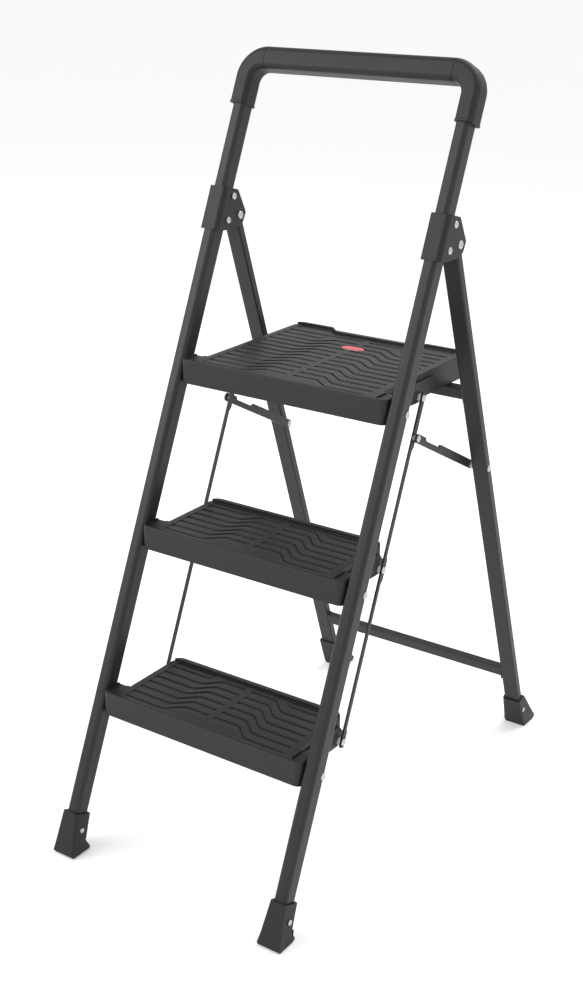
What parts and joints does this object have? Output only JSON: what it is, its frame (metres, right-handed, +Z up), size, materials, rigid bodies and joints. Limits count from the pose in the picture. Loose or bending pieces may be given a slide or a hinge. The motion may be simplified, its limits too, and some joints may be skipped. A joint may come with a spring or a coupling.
{
  "type": "folding step ladder",
  "caption": "Folding household step ladder with ribbed plastic treads, tall padded-style handrail, splayed rear legs, link straps and a latched top platform.",
  "frame": {"origin": "on the floor, in the middle of the space that the open ladder takes up", "axes": "+Z up; +X to the right of a person about to climb; +Y to the back, towards the rear legs"},
  "size_m": [0.406, 0.7854, 1.1317],
  "materials": {
    "coated_steel": "satin powder coat",
    "cover_plastic": "fine moulded grain",
    "tread_plastic": "moulded, fine grain, grooved top",
    "foot_plastic": "matte, ribbed outer side",
    "bright_rivet": "zinc plated",
    "spring_steel": "plain",
    "nylon": "matte",
    "red_plastic": "satin moulded"
  },
  "bodies": {
    "front_frame": {"front_tube": "coated_steel", "grip_cover": "cover_plastic", "corner_cover_right": "cover_plastic", "corner_cover_left": "cover_plastic", "shoulder_bracket_right": "cover_plastic", "shoulder_bracket_left": "cover_plastic", "bracket_rivets": "bright_rivet", "leg_pivots": "bright_rivet", "tread_pivots": "bright_rivet", "front_foot_right": "foot_plastic", "front_foot_left": "foot_plastic", "front_foot_screws": "bright_rivet"},
    "rear_frame": {"rear_leg_right": "coated_steel", "rear_leg_left": "coated_steel", "upper_crossbar": "coated_steel", "lower_crossbar": "coated_steel", "rear_foot_right": "foot_plastic", "rear_foot_left": "foot_plastic", "rear_foot_screws": "bright_rivet", "brace_pivots": "bright_rivet", "brace_spacers": "nylon"},
    "platform": {"platform_tread": "tread_plastic", "platform_ribs": "tread_plastic", "platform_side_plate_right": "coated_steel", "platform_side_plate_left": "coated_steel", "platform_link_pivots": "bright_rivet", "latch_housing": "tread_plastic", "latch_pin": "spring_steel"},
    "middle_step": {"middle_tread": "tread_plastic", "middle_ribs": "tread_plastic", "middle_side_plate_right": "coated_steel", "middle_side_plate_left": "coated_steel", "middle_link_pivots": "bright_rivet"},
    "bottom_step": {"bottom_tread": "tread_plastic", "bottom_ribs": "tread_plastic", "bottom_side_plate_right": "coated_steel", "bottom_side_plate_left": "coated_steel", "bottom_link_pivots": "bright_rivet"},
    "right_strap": {"link_strap_right": "coated_steel", "strap_washers_right": "nylon"},
    "left_strap": {"link_strap_left": "coated_steel", "strap_washers_left": "nylon"},
    "right_brace": {"brace_right": "coated_steel", "brace_rivet_right": "bright_rivet"},
    "left_brace": {"brace_left": "coated_steel", "brace_rivet_left": "bright_rivet"},
    "button": {"latch_button": "red_plastic", "button_clip": "spring_steel", "latch_spring": "spring_steel"},
    "hook": {"latch_hook": "tread_plastic"}
  },
  "joints": [
    {"name": "rear_frame_fold", "type": "hinge", "parent": "front_frame", "child": "rear_frame", "pos_m": [0, 0.03696, 0.88934], "axis": [-1, 0, 0], "range_deg": [0, 42.9]},
    {"name": "platform_fold", "type": "hinge", "parent": "front_frame", "child": "platform", "pos_m": [0, -0.08201, 0.67526], "axis": [1, 0, 0], "range_deg": [0, 61.71]},
    {"name": "middle_step_fold", "type": "hinge", "parent": "front_frame", "child": "middle_step", "pos_m": [0, -0.1793, 0.44497], "axis": [1, 0, 0], "range_deg": [0, 61.71]},
    {"name": "bottom_step_fold", "type": "hinge", "parent": "front_frame", "child": "bottom_step", "pos_m": [0, -0.27658, 0.21467], "axis": [1, 0, 0], "range_deg": [0, 61.71]},
    {"name": "right_strap_swing", "type": "hinge", "parent": "platform", "child": "right_strap", "pos_m": [0.16, 0.02299, 0.66626], "axis": [-1, 0, 0], "range_deg": [0, 61.71]},
    {"name": "left_strap_swing", "type": "hinge", "parent": "platform", "child": "left_strap", "pos_m": [-0.16, 0.02299, 0.66626], "axis": [-1, 0, 0], "range_deg": [0, 61.71]},
    {"name": "right_brace_swing", "type": "hinge", "parent": "rear_frame", "child": "right_brace", "pos_m": [0.165, 0.16967, 0.52474], "axis": [-1, 0, 0], "range_deg": [0, 40.13]},
    {"name": "left_brace_swing", "type": "hinge", "parent": "rear_frame", "child": "left_brace", "pos_m": [-0.165, 0.16967, 0.52474], "axis": [-1, 0, 0], "range_deg": [0, 40.13]},
    {"name": "button_press", "type": "slide", "parent": "platform", "child": "button", "axis": [0, 0, -1], "range_m": [0, 0.003], "stiffness_N_per_m": 300, "springref_m": -0.006, "deforming": ["latch_spring"]},
    {"name": "hook_swing", "type": "hinge", "parent": "platform", "child": "hook", "pos_m": [0, 0.07999, 0.66476], "axis": [-1, 0, 0], "range_deg": [0, 14.09]}
  ],
  "couplings": [
    {"joint": "platform_fold", "follows": "rear_frame_fold", "ratio": 1.4382},
    {"joint": "middle_step_fold", "follows": "rear_frame_fold", "ratio": 1.4382},
    {"joint": "bottom_step_fold", "follows": "rear_frame_fold", "ratio": 1.4382},
    {"joint": "right_strap_swing", "follows": "rear_frame_fold", "ratio": 1.4382},
    {"joint": "left_strap_swing", "follows": "rear_frame_fold", "ratio": 1.4382},
    {"joint": "right_brace_swing", "follows": "rear_frame_fold", "ratio": 0.93497},
    {"joint": "left_brace_swing", "follows": "rear_frame_fold", "ratio": 0.93497},
    {"joint": "hook_swing", "follows": "button_press", "rad_per_m": 81.681}
  ]
}
